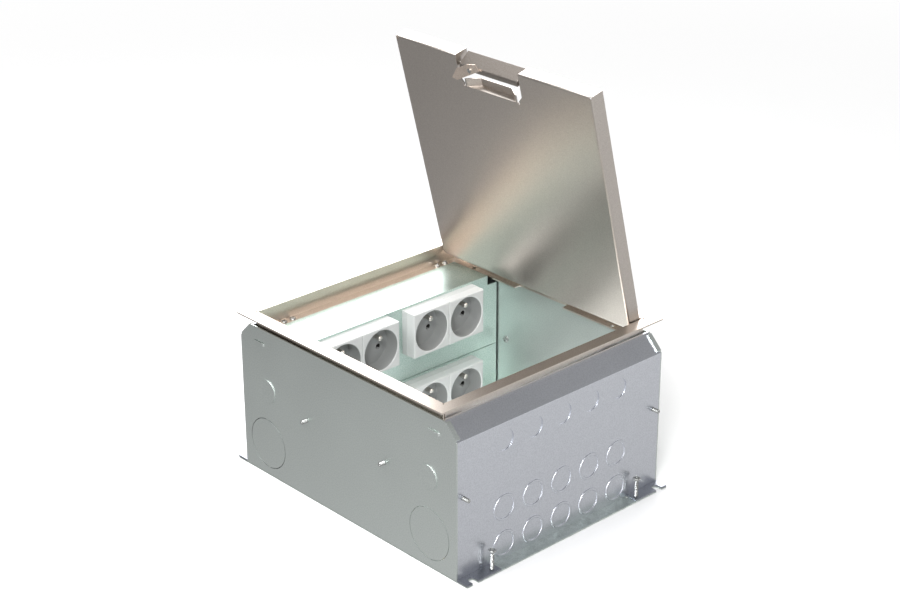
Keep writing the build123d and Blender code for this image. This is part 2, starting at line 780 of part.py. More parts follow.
def make_earth_stud():
    """A welded stud: a stout root under the nut, a neck, and the free end for the installer's wire."""
    root_top = body_sheet + stud_root_height
    neck_top = root_top + stud_neck_height
    stud = disc_z(stud_x, stud_y, body_sheet, root_top, stud_root_radius)
    stud += disc_z(stud_x, stud_y, root_top, neck_top, stud_neck_radius)
    return stud + disc_z(stud_x, stud_y, neck_top, body_sheet + stud_height, stud_radius)


def make_earth_washer():
    washer = disc_z(stud_x, stud_y, body_sheet, body_sheet + stud_washer_height, stud_washer_radius)
    return washer - disc_z(stud_x, stud_y, 0, body_sheet + stud_height, stud_root_radius + running_gap)


def make_earth_nut():
    """A hexagon nut screwed down on the washer."""
    outline = RegularPolygon(stud_nut_width / 2, 6, major_radius=False)
    nut = Pos(stud_x, stud_y, body_sheet + stud_washer_height) * extrude(outline, amount=stud_nut_height)
    return nut - disc_z(stud_x, stud_y, 0, body_sheet + stud_height, stud_root_radius + running_gap)


right_wall = make_right_wall()
back_wall = make_back_wall()
pieces = {
    "base_plate": make_base_plate(),
    "corner_ears": make_ears(),
    "right_wall": right_wall,
    "left_wall": mirrored_x(right_wall),
    "back_wall": back_wall,
    "front_wall": mirrored_y(back_wall),
    "end_wall_screws": make_end_wall_screws(),
    "side_wall_screws": make_side_wall_screws(),
    "corner_brackets": make_corner_brackets(),
    "upper_carrier": make_upper_carrier(),
    "lower_carrier": make_lower_carrier(),
    "socket_screws": make_socket_screws(),
    "earth_stud": make_earth_stud(),
    "earth_washer": make_earth_washer(),
    "earth_nut": make_earth_nut(),
    "lid_frame": make_lid_frame(),
    "height_screws": make_frame_screws(0),
    "locking_screws": make_frame_screws(1),
    "hinge_pins": make_hinge_pins(),
    "lid_tray": open_lid(make_lid_tray()),
    "flap_pins": open_lid(make_flap_pins()),
    "cord_flap": open_lid(make_flap()),
    "catch_rivet": open_lid(make_catch_rivet()),
    "flap_catch": open_lid(make_catch()),
}
for number, place in enumerate(block_places(), 1):
    pieces[f"socket_base_{number}"] = make_socket_base(place)
    pieces[f"socket_face_{number}"] = make_socket_face(place)
    pieces[f"earth_pins_{number}"] = make_earth_pins(place)
    pieces[f"line_contacts_{number}"] = make_line_contacts(place)
for number, (x, y) in enumerate(levelling_places(), 1):
    pieces[f"levelling_screw_{number}"] = make_levelling_screw(x, y)

for name, shape in pieces.items():
    export_step(shape, f"parts/{name}.step")
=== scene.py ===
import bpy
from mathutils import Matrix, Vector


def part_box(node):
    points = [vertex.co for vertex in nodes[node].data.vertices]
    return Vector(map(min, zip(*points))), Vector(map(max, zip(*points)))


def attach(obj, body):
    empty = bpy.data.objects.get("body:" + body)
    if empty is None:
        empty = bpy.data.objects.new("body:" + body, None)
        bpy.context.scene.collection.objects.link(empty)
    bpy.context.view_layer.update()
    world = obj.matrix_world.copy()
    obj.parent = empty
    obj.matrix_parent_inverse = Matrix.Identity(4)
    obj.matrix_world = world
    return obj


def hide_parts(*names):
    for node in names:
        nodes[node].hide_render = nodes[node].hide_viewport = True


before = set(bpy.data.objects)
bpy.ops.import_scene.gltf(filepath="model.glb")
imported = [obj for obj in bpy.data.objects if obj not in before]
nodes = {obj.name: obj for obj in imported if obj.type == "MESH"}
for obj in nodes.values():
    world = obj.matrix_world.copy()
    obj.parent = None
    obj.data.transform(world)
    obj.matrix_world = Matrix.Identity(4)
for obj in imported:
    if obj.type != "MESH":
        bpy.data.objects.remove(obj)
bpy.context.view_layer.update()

import math

import bmesh
import bpy
from mathutils import Matrix, Vector


# The body is folded and spot-welded from hot-dip galvanised sheet: a base plate, two end walls and
# two side walls whose tops slope in towards the frame. The knockouts are pressed in the flat sheet.
# The zinc gives a soft grey sheen with faint crystals; the base plate shows them most.

mm = 0.001

# Most of a noise texture's values lie between these.
noise_low, noise_high = 0.3, 0.7


def linear(hex_colour):
    """The linear colour that Blender's sockets take, from an sRGB hex value."""
    channels = [int(hex_colour[i:i + 2], 16) / 255 for i in (1, 3, 5)]
    return [c / 12.92 if c <= 0.04045 else ((c + 0.055) / 1.055) ** 2.4 for c in channels] + [1.0]


def add(tree, kind, settings=None, **inputs):
    """Adds a node. An input is a value, or the output socket that it is linked from."""
    node = tree.nodes.new(kind)
    for name, value in (settings or {}).items():
        setattr(node, name, value)
    sockets = {socket.name: socket for socket in node.inputs}
    sockets.update({socket.identifier: socket for socket in node.inputs})
    for name, value in inputs.items():
        socket = sockets.get(name) or sockets[name.replace("_", " ")]
        if isinstance(value, bpy.types.NodeSocket):
            tree.links.new(value, socket)
        else:
            socket.default_value = value
    return node


def start_material(name):
    """An empty material, its node tree, and the place on the piece that its patterns read."""
    material = bpy.data.materials.new(name)
    material.use_nodes = True
    tree = material.node_tree
    tree.nodes.clear()
    return material, tree, add(tree, "ShaderNodeTexCoord").outputs["Object"]


def finish_material(tree, **inputs):
    """Ends a tree with the surface shader."""
    shader = add(tree, "ShaderNodeBsdfPrincipled", **inputs)
    add(tree, "ShaderNodeOutputMaterial", Surface=shader.outputs["BSDF"])


def shade(tree, share, dark, light, low=0.0, high=1.0):
    """A colour that runs from dark to light as a share runs from low to high."""
    return add(tree, "ShaderNodeMapRange", {"data_type": "FLOAT_VECTOR"}, Vector=share,
               From_Min_FLOAT3=[low] * 3, From_Max_FLOAT3=[high] * 3,
               To_Min_FLOAT3=linear(dark)[:3], To_Max_FLOAT3=linear(light)[:3]).outputs["Vector"]


def zinc_coated(name, dark, light, rough_low, rough_high, spangle):
    """Hot-dip galvanised sheet: crystals, a finer grain in each, and a dull sheen that varies.

    The real grain is about 0.2 mm, too fine for the picture, and is drawn coarser to show.
    """
    crystal = 4.0 * mm
    grain = 1.2 * mm
    cloud = 60 * mm
    relief = 0.08 * mm
    tone_low, tone_high = 0.35, 0.65 + spangle
    material, tree, place = start_material(name)
    cells = add(tree, "ShaderNodeTexVoronoi", Vector=place, Scale=1 / crystal)
    tone = add(tree, "ShaderNodeSeparateColor", Color=cells.outputs["Color"])
    fine = add(tree, "ShaderNodeTexNoise", Vector=place, Scale=1 / grain, Detail=3.0)
    broad = add(tree, "ShaderNodeTexNoise", Vector=place, Scale=1 / cloud, Detail=2.0)
    spread = add(tree, "ShaderNodeMath", {"operation": "MULTIPLY"}, Value=tone.outputs["Red"],
                 Value_001=spangle)
    total = add(tree, "ShaderNodeMath", {"operation": "ADD"}, Value=spread.outputs["Value"],
                Value_001=fine.outputs["Fac"])
    colour = shade(tree, total.outputs["Value"], dark, light, tone_low, tone_high)
    rough = add(tree, "ShaderNodeMapRange", Value=broad.outputs["Fac"], From_Min=noise_low,
                From_Max=noise_high, To_Min=rough_low, To_Max=rough_high)
    bump = add(tree, "ShaderNodeBump", Height=fine.outputs["Fac"], Strength=0.35, Distance=relief)
    finish_material(tree, Base_Color=colour, Metallic=1.0, Roughness=rough.outputs["Result"],
                    Normal=bump.outputs["Normal"])
    return material


def dress(names, material):
    """Gives CAD pieces their material."""
    for name in names:
        mesh = nodes[name].data
        mesh.materials.clear()
        mesh.materials.append(material)


def join_triangles(piece):
    """Joins the loose triangles of a CAD piece, so that its edges can be rounded."""
    weld = piece.modifiers.new("Join", "WELD")
    weld.merge_threshold = 0.005 * mm


def round_edges(piece, width, segments, limit):
    """Rounds edges, chosen by their angle or by their weight."""
    bevel = piece.modifiers.new("Edges", "BEVEL")
    bevel.width = width
    bevel.segments = segments
    bevel.limit_method = limit
    return bevel


def press_tree():
    """Geometry nodes that give weight to the sharp edges further out along an axis than a level."""
    tree = bpy.data.node_groups.new("press_edges", "GeometryNodeTree")
    tree.interface.new_socket("Sheet", in_out="INPUT", socket_type="NodeSocketGeometry")
    tree.interface.new_socket("Axis", in_out="INPUT", socket_type="NodeSocketVector")
    tree.interface.new_socket("Level", in_out="INPUT", socket_type="NodeSocketFloat")
    tree.interface.new_socket("Marked", in_out="OUTPUT", socket_type="NodeSocketGeometry")
    given = add(tree, "NodeGroupInput").outputs
    place = add(tree, "GeometryNodeInputPosition").outputs["Position"]
    along = add(tree, "ShaderNodeVectorMath", {"operation": "DOT_PRODUCT"}, Vector=place,
                Vector_001=given["Axis"])
    out = add(tree, "ShaderNodeMath", {"operation": "ABSOLUTE"}, Value=along.outputs["Value"])
    beyond = add(tree, "ShaderNodeMath", {"operation": "GREATER_THAN"}, Value=out.outputs["Value"],
                 Value_001=given["Level"])
    angle = add(tree, "GeometryNodeInputMeshEdgeAngle").outputs["Unsigned Angle"]
    sharp = add(tree, "ShaderNodeMath", {"operation": "GREATER_THAN"}, Value=angle, Value_001=sharp_angle)
    both = add(tree, "ShaderNodeMath", {"operation": "MULTIPLY"}, Value=beyond.outputs["Value"],
               Value_001=sharp.outputs["Value"])
    marks = add(tree, "GeometryNodeStoreNamedAttribute", {"data_type": "FLOAT", "domain": "EDGE"},
                Geometry=given["Sheet"], Name="bevel_weight_edge", Value=both.outputs["Value"])
    add(tree, "NodeGroupOutput", Marked=marks.outputs["Geometry"])
    return tree


def soften_presses(names, axis, level, width):
    """Rounds the top edges of the pressed rings, which a die leaves softer than a sheared edge."""
    for name in names:
        join_triangles(nodes[name])
        marks = nodes[name].modifiers.new("Marks", "NODES")
        marks.node_group = presses
        given = {item.name: item.identifier for item in presses.interface.items_tree
                 if item.in_out == "INPUT"}
        marks[given["Axis"]] = axis
        marks[given["Level"]] = level
        round_edges(nodes[name], width, 3, "WEIGHT")


def ease_edges(names, width):
    """Rounds the cut edges a little, so that they catch the light as sheared and deburred ones do."""
    for name in names:
        join_triangles(nodes[name])
        bevel = round_edges(nodes[name], width, 2, "ANGLE")
        bevel.angle_limit = sharp_angle


sharp_angle = math.radians(40)
sheared_edge = 0.25 * mm
pressed_edge = 0.7 * mm
side_press_level = 146.5 * mm
end_press_level = 127.6 * mm

# The end walls are skin-passed: dull and even. The side walls are glossier, and their lighter colour is
# painted light from the right. The ears' dark colour is painted shade, and the base plate is mottled with
# crystals.
smooth_zinc = zinc_coated("skin_passed_galvanised_sheet", "#D2D9D6", "#DEE4E1", 0.40, 0.48, 0.02)
# The side walls' lighter colour is painted light from the lamps on the right.
bright_zinc = zinc_coated("galvanised_sheet", "#D6D9E0", "#E6E9F0", 0.28, 0.32, 0.06)
# The ears' dark colour is painted shade that stands in for the shade over them.
shaded_zinc = zinc_coated("shaded_galvanised_sheet", "#8D9098", "#9EA1A9", 0.30, 0.38, 0.06)
mottled_zinc = zinc_coated("mottled_galvanised_sheet", "#B4BDB8", "#D8E0DC", 0.28, 0.40, 0.25)
dress(["front_wall", "back_wall"], smooth_zinc)
dress(["left_wall", "right_wall"], bright_zinc)
dress(["base_plate"], mottled_zinc)
dress(["corner_ears"], shaded_zinc)
presses = press_tree()
soften_presses(["left_wall", "right_wall"], (1.0, 0.0, 0.0), side_press_level, pressed_edge)
soften_presses(["front_wall", "back_wall"], (0.0, 1.0, 0.0), end_press_level, pressed_edge)
ease_edges(["front_wall", "back_wall", "left_wall", "right_wall", "base_plate", "corner_ears"], sheared_edge)


# The screws of the walls and the levelling screws are cold-headed from steel wire, with a rolled
# thread and a cross recess, and plated with bright zinc. One form serves them all in its own sizes.

def plated_steel():
    """Bright zinc on steel: smooth, with a faint mottle from the plating bath."""
    mottle = 1.2 * mm
    material, tree, place = start_material("bright_zinc_plated_steel")
    noise = add(tree, "ShaderNodeTexNoise", Vector=place, Scale=1 / mottle, Detail=2.0)
    colour = shade(tree, noise.outputs["Fac"], "#A9AAA8", "#D5D7D6", noise_low, noise_high)
    rough = add(tree, "ShaderNodeMapRange", Value=noise.outputs["Fac"], To_Min=0.22, To_Max=0.34)
    finish_material(tree, Base_Color=colour, Metallic=1.0, Roughness=rough.outputs["Result"])
    return material


def plain_object(name, mesh):
    """A new object in the scene, at the origin."""
    piece = bpy.data.objects.new(name, mesh)
    bpy.context.scene.collection.objects.link(piece)
    return piece


def evaluated_copy(piece, name):
    """The piece with its modifiers applied, as a new plain object. The piece itself is removed."""
    bpy.context.view_layer.update()
    mesh = bpy.data.meshes.new_from_object(piece.evaluated_get(bpy.context.evaluated_depsgraph_get()))
    bpy.data.objects.remove(piece)
    mesh.name = name
    return plain_object(name, mesh)


def circle(radius, z, steps):
    """Points around the Z axis."""
    turns = [2 * math.pi * i / steps for i in range(steps)]
    return [(radius * math.cos(turn), radius * math.sin(turn), z) for turn in turns]


def thread_rows(radius, length, pitch, depth, steps):
    """Rings of points that climb a rolled thread from its thinned tip to the head."""
    rings_per_turn = 6
    tip_share = 0.6
    count = int(length / pitch * rings_per_turn)
    rows = []
    for k in range(count + 1):
        z = -length + length * k / count
        grown = min(1.0, tip_share + (1 - tip_share) * (z + length) / pitch)
        row = []
        for i in range(steps):
            turn = 2 * math.pi * i / steps
            tooth = abs(2 * ((z / pitch - i / steps) % 1.0) - 1)
            r = (radius - depth * tooth) * grown
            row.append((r * math.cos(turn), r * math.sin(turn), z))
        rows.append(row)
    return rows


def closed_skin(rows):
    """A mesh from rings of points, closed at both ends."""
    bm = bmesh.new()
    rings = [[bm.verts.new(point) for point in row] for row in rows]
    for lower, upper in zip(rings, rings[1:]):
        for i in range(len(lower)):
            j = (i + 1) % len(lower)
            bm.faces.new((lower[i], lower[j], upper[j], upper[i]))
    bm.faces.new(reversed(rings[0]))
    bm.faces.new(rings[-1])
    bmesh.ops.recalc_face_normals(bm, faces=bm.faces)
    mesh = bpy.data.meshes.new("screw_form")
    bm.to_mesh(mesh)
    bm.free()
    return mesh


def cross_recess(head_radius, head_height):
    """Two crossed bars that sink into the head's top."""
    bar = (1.15 * head_radius, 0.24 * head_radius, head_height)
    middle = 0.95 * head_height
    bm = bmesh.new()
    for turn in (0, math.pi / 2):
        made = bmesh.ops.create_cube(bm, size=1.0)["verts"]
        bmesh.ops.scale(bm, vec=bar, verts=made)
        bmesh.ops.rotate(bm, matrix=Matrix.Rotation(turn, 3, "Z"), verts=made)
        bmesh.ops.translate(bm, vec=(0, 0, middle), verts=made)
    mesh = bpy.data.meshes.new("cross_recess")
    bm.to_mesh(mesh)
    bm.free()
    return plain_object("cross_recess", mesh)


def screw_form(radius, length, head_radius, head_height):
    """A pan head screw pointing down, the underside of its head at the origin."""
    steps = 24
    pitch, depth = 0.35 * radius, 0.16 * radius
    dome = [(0.94, 0.0), (1.0, 0.12), (1.0, 0.45), (0.93, 0.72), (0.75, 0.9), (0.45, 0.98), (0.15, 1.0)]
    rows = thread_rows(radius, length, pitch, depth, steps)
    rows += [circle(share * head_radius, height * head_height, steps) for share, height in dome]
    screw = plain_object("screw_form", closed_skin(rows))
    cutter = cross_recess(head_radius, head_height)
    recess = screw.modifiers.new("Recess", "BOOLEAN")
    recess.object = cutter
    recess.use_self = True
    form = evaluated_copy(screw, "screw_form")
    bpy.data.objects.remove(cutter)
    return form


def repeat_tree():
    """Geometry nodes that set one copy of a piece on each vertex, turned by its turn attribute."""
    tree = bpy.data.node_groups.new("repeat", "GeometryNodeTree")
    tree.interface.new_socket("Places", in_out="INPUT", socket_type="NodeSocketGeometry")
    tree.interface.new_socket("Piece", in_out="INPUT", socket_type="NodeSocketObject")
    tree.interface.new_socket("Finish", in_out="INPUT", socket_type="NodeSocketMaterial")
    tree.interface.new_socket("Pieces", in_out="OUTPUT", socket_type="NodeSocketGeometry")
    given = add(tree, "NodeGroupInput").outputs
    piece = add(tree, "GeometryNodeObjectInfo", Object=given["Piece"])
    turn = add(tree, "GeometryNodeInputNamedAttribute", {"data_type": "FLOAT_VECTOR"}, Name="turn")
    rotation = add(tree, "FunctionNodeEulerToRotation", Euler=turn.outputs["Attribute"])
    copies = add(tree, "GeometryNodeInstanceOnPoints", Points=given["Places"],
                 Instance=piece.outputs["Geometry"], Rotation=rotation.outputs["Rotation"])
    real = add(tree, "GeometryNodeRealizeInstances", Geometry=copies.outputs["Instances"])
    finish = add(tree, "GeometryNodeSetMaterial", Geometry=real.outputs["Geometry"],
                 Material=given["Finish"])
    add(tree, "NodeGroupOutput", Pieces=finish.outputs["Geometry"])
    return tree


def repeat(name, form, places, material):
    """Copies of a form at (location, turn) places, as one plain mesh. The form is removed."""
    mesh = bpy.data.meshes.new(name)
    mesh.from_pydata([place for place, turn in places], [], [])
    attribute = mesh.attributes.new("turn", "FLOAT_VECTOR", "POINT")
    for item, (place, turn) in zip(attribute.data, places):
        item.vector = turn
    holder = plain_object(name + "_places", mesh)
    modifier = holder.modifiers.new("Repeat", "NODES")
    modifier.node_group = repeats
    given = {item.name: item.identifier for item in repeats.interface.items_tree if item.in_out == "INPUT"}
    modifier[given["Piece"]] = form
    modifier[given["Finish"]] = material
    pieces = evaluated_copy(holder, name)
    bpy.data.objects.remove(form)
    return pieces


def solid_boxes(name):
    """The low and high corners of each separate solid in a CAD node, in a fixed order."""
    bm = bmesh.new()
    bm.from_mesh(nodes[name].data)
    bmesh.ops.remove_doubles(bm, verts=bm.verts, dist=0.005 * mm)
    left = set(bm.verts)
    boxes = []
    while left:
        front = [left.pop()]
        low, high = front[0].co.copy(), front[0].co.copy()
        while front:
            vertex = front.pop()
            low = Vector(map(min, low, vertex.co))
            high = Vector(map(max, high, vertex.co))
            for edge in vertex.link_edges:
                other = edge.other_vert(vertex)
                if other in left:
                    left.remove(other)
                    front.append(other)
        boxes.append((low, high))
    bm.free()
    return sorted(boxes, key=lambda box: tuple(round(value, 5) for value in box[0]))


def threaded(name, form, places, body):
    """Sets dressed screws in place of a CAD node's plain ones."""
    screws = repeat(name + "_threaded", form, places, zinc_plated)
    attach(screws, body)
    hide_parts(name)


zinc_plated = plated_steel()
repeats = repeat_tree()

wall_screw_radius = 2.0 * mm
wall_screw_head_radius = 3.5 * mm
wall_screw_head_height = 2.2 * mm
for name, axis in (("end_wall_screws", 1), ("side_wall_screws", 0)):
    boxes = solid_boxes(name)
    places = []
    for low, high in boxes:
        centre = (low + high) / 2
        outward = 1 if centre[axis] > 0 else -1
        inner = low[axis] if outward > 0 else high[axis]
        centre[axis] = inner + outward * wall_screw_head_height
        turn = (math.radians(90 * outward), 0, 0) if axis else (0, math.radians(-90 * outward), 0)
        places.append((centre, turn))
    length = boxes[0][1][axis] - boxes[0][0][axis] - wall_screw_head_height
    form = screw_form(wall_screw_radius, length, wall_screw_head_radius, wall_screw_head_height)
    threaded(name, form, places, "box")

levelling_radius = 1.9 * mm
levelling_head_radius = 3.8 * mm
levelling_head_height = 2.4 * mm
levelling_turn = 0.4
for number in range(1, 5):
    name = f"levelling_screw_{number}"
    low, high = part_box(name)
    centre = (Vector(low) + Vector(high)) / 2
    centre.z = high[2] - levelling_head_height
    form = screw_form(levelling_radius, centre.z - low[2], levelling_head_radius, levelling_head_height)
    threaded(name, form, [(centre, (0, 0, levelling_turn * number))], f"foot_{number}")


# The socket carrier and the corner brackets are folded from the same galvanised sheet as the body.
# The brackets are spot-welded to the side walls, and the carrier is screwed to the left wall.

carrier_zinc = zinc_coated("galvanised_carrier_sheet", "#C4DAD2", "#E2EFEA", 0.34, 0.46, 0.05)
dress(["upper_carrier", "lower_carrier"], carrier_zinc)
dress(["corner_brackets"], bright_zinc)
ease_edges(["upper_carrier", "lower_carrier"], sheared_edge)


# The socket blocks are moulded in pale grey polycarbonate: a mounting frame with two fronts snapped
# on. Moulded faces are smooth and satin, with a very fine spark-eroded grain. The wells are painted darker,
# a painted shade for their depth.

def moulded(name, hex_colour, roughness):
    """Satin moulded plastic. Its grain, about 0.05 mm, is drawn coarser to show."""
    grain = 0.5 * mm
    relief = 0.02 * mm
    hollow = 0.93
    material, tree, place = start_material(name)
    noise = add(tree, "ShaderNodeTexNoise", Vector=place, Scale=1 / grain, Detail=2.0)
    light = linear(hex_colour)[:3]
    colour = add(tree, "ShaderNodeMapRange", {"data_type": "FLOAT_VECTOR"}, Vector=noise.outputs["Fac"],
                 From_Min_FLOAT3=[noise_low] * 3, From_Max_FLOAT3=[noise_high] * 3,
                 To_Min_FLOAT3=[hollow * c for c in light], To_Max_FLOAT3=light)
    bump = add(tree, "ShaderNodeBump", Height=noise.outputs["Fac"], Strength=0.12, Distance=relief)
    finish_material(tree, Base_Color=colour.outputs["Vector"], Roughness=roughness, IOR=1.58,
                    Normal=bump.outputs["Normal"])
    return material


front_plastic = moulded("moulded_polycarbonate_front", "#DCDEDD", 0.32)
frame_plastic = moulded("moulded_polycarbonate_frame", "#CFD1D0", 0.42)
well_plastic_painted_shade = moulded("moulded_polycarbonate_well_painted_shade", "#A2A4A3", 0.38)
well_reach = 20.1 * mm
front_skin = 1.0 * mm
face_edge = 0.3 * mm
faces = [f"socket_face_{number}" for number in range(1, 5)]
dress(faces, front_plastic)
# Faces inside each well take the darker plastic: painted shade in the recesses.
for name in faces:
    mesh = nodes[name].data
    mesh.materials.append(well_plastic_painted_shade)
    for low, high in solid_boxes(name):
        middle = (low + high) / 2
        for polygon in mesh.polygons:
            away = math.hypot(polygon.center.y - middle.y, polygon.center.z - middle.z)
            if away < well_reach and polygon.center.x < high.x - front_skin:
                polygon.material_index = 1
ease_edges(faces, face_edge)
dress([f"socket_base_{number}" for number in range(1, 5)], frame_plastic)
dress(["socket_screws"], zinc_plated)


# The earth pins are turned brass, nickel plated. The line contacts behind the holes are folded from
# tinned copper strip. The earth stud, its washer and nut are plain brass, dulled by handling.

def turned_metal(name, dark, light, roughness):
    """Turned bar with fine tool marks, about 0.1 mm apart and drawn coarser to show."""
    marks = 0.35 * mm
    relief = 0.02 * mm
    material, tree, place = start_material(name)
    noise = add(tree, "ShaderNodeTexNoise", Vector=place, Scale=1 / marks, Detail=2.0)
    colour = shade(tree, noise.outputs["Fac"], dark, light, noise_low, noise_high)
    bump = add(tree, "ShaderNodeBump", Height=noise.outputs["Fac"], Strength=0.1, Distance=relief)
    finish_material(tree, Base_Color=colour, Metallic=1.0, Roughness=roughness,
                    Normal=bump.outputs["Normal"])
    return material


nickel = turned_metal("nickel_plated_brass", "#CFCBC4", "#E4E1DB", 0.38)
# The tinned contacts' colour is darkened: painted shade inside the contact holes.
tinned = turned_metal("tinned_copper_painted_shade", "#6E6C69", "#8A8885", 0.45)
brass = turned_metal("turned_brass", "#A98A4E", "#CFB274", 0.34)
dress([f"earth_pins_{number}" for number in range(1, 5)], nickel)
dress([f"line_contacts_{number}" for number in range(1, 5)], tinned)
dress(["earth_stud", "earth_washer", "earth_nut"], brass)


# The frame on the floor is pressed and welded from stainless sheet with a cold-rolled finish: a grey
# skin that mirrors softly, with a fine matt grain. Its screws hang in the ledge.

def stainless(name, dark, light, rough_low, rough_high):
    """Cold-rolled stainless sheet: a fine matt grain over slow clouds.

    The real grain is a few hundredths of a millimetre and is drawn coarser to show.
    """
    grain = 1.1 * mm
    cloud = 70.0 * mm
    relief = 0.08 * mm
    material, tree, place = start_material(name)
    fine = add(tree, "ShaderNodeTexNoise", Vector=place, Scale=1 / grain, Detail=3.0)
    broad = add(tree, "ShaderNodeTexNoise", Vector=place, Scale=1 / cloud, Detail=2.0)
    colour = shade(tree, fine.outputs["Fac"], dark, light, noise_low, noise_high)
    rough = add(tree, "ShaderNodeMapRange", Value=broad.outputs["Fac"], From_Min=noise_low,
                From_Max=noise_high, To_Min=rough_low, To_Max=rough_high)
    bump = add(tree, "ShaderNodeBump", Height=fine.outputs["Fac"], Strength=0.35, Distance=relief)
    finish_material(tree, Base_Color=colour, Metallic=1.0, Roughness=rough.outputs["Result"],
                    Normal=bump.outputs["Normal"])
    return material


frame_steel = stainless("cold_rolled_stainless_frame", "#D8CCC1", "#E6DDD4", 0.28, 0.32)
dress(["lid_frame"], frame_steel)
ease_edges(["lid_frame"], sheared_edge)
dress(["hinge_pins"], zinc_plated)

frame_screw_radius = 2.0 * mm
frame_screw_head_height = 1.6 * mm
frame_screw_turn = 0.7
for name in ("height_screws", "locking_screws"):
    boxes = solid_boxes(name)
    places = []
    for index, (low, high) in enumerate(boxes):
        centre = (low + high) / 2
        centre.z = high.z - frame_screw_head_height
        places.append((centre, (0, 0, frame_screw_turn * index)))
    length = places[0][0].z - boxes[0][0].z
    head_radius = (boxes[0][1].x - boxes[0][0].x) / 2
    form = screw_form(frame_screw_radius, length, head_radius, frame_screw_head_height)
    threaded(name, form, places, "frame")


# The lid is one tray of cold-rolled stainless sheet. Its four rims are folded up to hold the floor
# covering and slit at the corners, and its finger hood is pressed in one stroke.

lid_steel = stainless("cold_rolled_stainless_lid", "#C6BEB7", "#D4CDC6", 0.28, 0.33)
dress(["lid_tray"], lid_steel)
ease_edges(["lid_tray"], sheared_edge)


# The flap is bent up from stainless sheet: a flat foot, a front that leans out to the rims' height
# and a cheek at each end for its pins. It is drawn for the closed lid and then turned open with it.

def bent_profile(sheet):
    """The outer and inner lines of the bent strip as (y, z), from the foot to the top."""
    foot_y, foot_z, top_z = -107.5 * mm, 148.8 * mm, 162.2 * mm
    bend_y, radius, bend_steps = -110.1 * mm, 3.0 * mm, 8
    outer, inner = [(foot_y, foot_z)], [(foot_y, foot_z + sheet)]
    for line, r in ((outer, radius), (inner, radius - sheet)):
        for step in range(bend_steps + 1):
            turn = flap_lean * step / bend_steps
            line.append((bend_y - r * math.sin(turn), foot_z + radius - r * math.cos(turn)))
    rise = (top_z - outer[-1][1]) / math.sin(flap_lean)
    for line in (outer, inner):
        y, z = line[-1]
        line.append((y - rise * math.cos(flap_lean), z + rise * math.sin(flap_lean)))
    return outer, inner


def cheek_profile(inner):
    """A cheek between the foot, the bend and the lower part of the leaning front."""
    cheek_z = 156.8 * mm
    foot_y = inner[0][0]
    bend_end_y, bend_end_z = inner[-2]
    front_y = bend_end_y - (cheek_z - bend_end_z) / math.tan(flap_lean)
    return [point for point in inner if point[1] < cheek_z] + [(front_y, cheek_z), (foot_y, cheek_z)]


def prism(bm, points, left, right):
    """Extrudes a closed (y, z) outline along X."""
    rows = [[bm.verts.new((x, y, z)) for y, z in points] for x in (left, right)]
    for i in range(len(points)):
        j = (i + 1) % len(points)
        bm.faces.new((rows[0][i], rows[0][j], rows[1][j], rows[1][i]))
    bm.faces.new(list(reversed(rows[0])))
    bm.faces.new(rows[1])


def flap_form(left, right, sheet):
    """The bent strip with its two cheeks, a hair clear of it so that no faces coincide."""
    hair = 0.01 * mm
    outer, inner = bent_profile(sheet)
    cheek = [(y, z + hair) for y, z in cheek_profile(inner)]
    bm = bmesh.new()
    prism(bm, outer + list(reversed(inner)), left, right)
    prism(bm, cheek, left + hair, left + sheet)
    prism(bm, cheek, right - sheet, right - hair)
    bmesh.ops.recalc_face_normals(bm, faces=bm.faces[:])
    to_hinge, from_hinge = Matrix.Translation(-lid_hinge), Matrix.Translation(lid_hinge)
    opened = from_hinge @ Matrix.Rotation(-lid_open, 4, "X") @ to_hinge
    bmesh.ops.transform(bm, verts=bm.verts[:], matrix=opened)
    mesh = bpy.data.meshes.new("cord_flap_form")
    bm.to_mesh(mesh)
    bm.free()
    return plain_object("cord_flap_bent", mesh)


lid_hinge = Vector((0, 118.4 * mm, 160.6 * mm))
lid_open = math.radians(75.7)
flap_lean = math.radians(62)
flap_sheet = 1.5 * mm
flap_edge = 0.2 * mm
# The flap's steel is darker than the lid's: painted shade for its leaning front.
flap_steel_painted_shade = stainless("brushed_stainless_flap_painted_shade", "#9A928B", "#ABA39C", 0.30, 0.36)
flap_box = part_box("cord_flap")
flap = flap_form(flap_box[0].x, flap_box[1].x, flap_sheet)
flap.data.materials.append(flap_steel_painted_shade)
round_edges(flap, flap_edge, 2, "ANGLE")
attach(flap, "flap")
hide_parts("cord_flap")


# The catch is a flat lever punched from spring steel, tumbled to take off its burrs, which leaves a
# rougher, matt skin. It turns on a rivet, and the flap on two plated pins.

catch_steel = stainless("tumbled_spring_steel", "#D8C8BB", "#F0E2D6", 0.42, 0.52)
dress(["flap_catch"], catch_steel)
ease_edges(["flap_catch"], sheared_edge)
dress(["flap_pins", "catch_rivet"], zinc_plated)


# The studio is a white floor that fades into a white surround. For the metal to mirror, the floor is
# a grey card, and three soft white panels stand around: behind on the left, behind on the right, and
# at the front right. One large and one small lamp light it, and two faint ones fill the box.

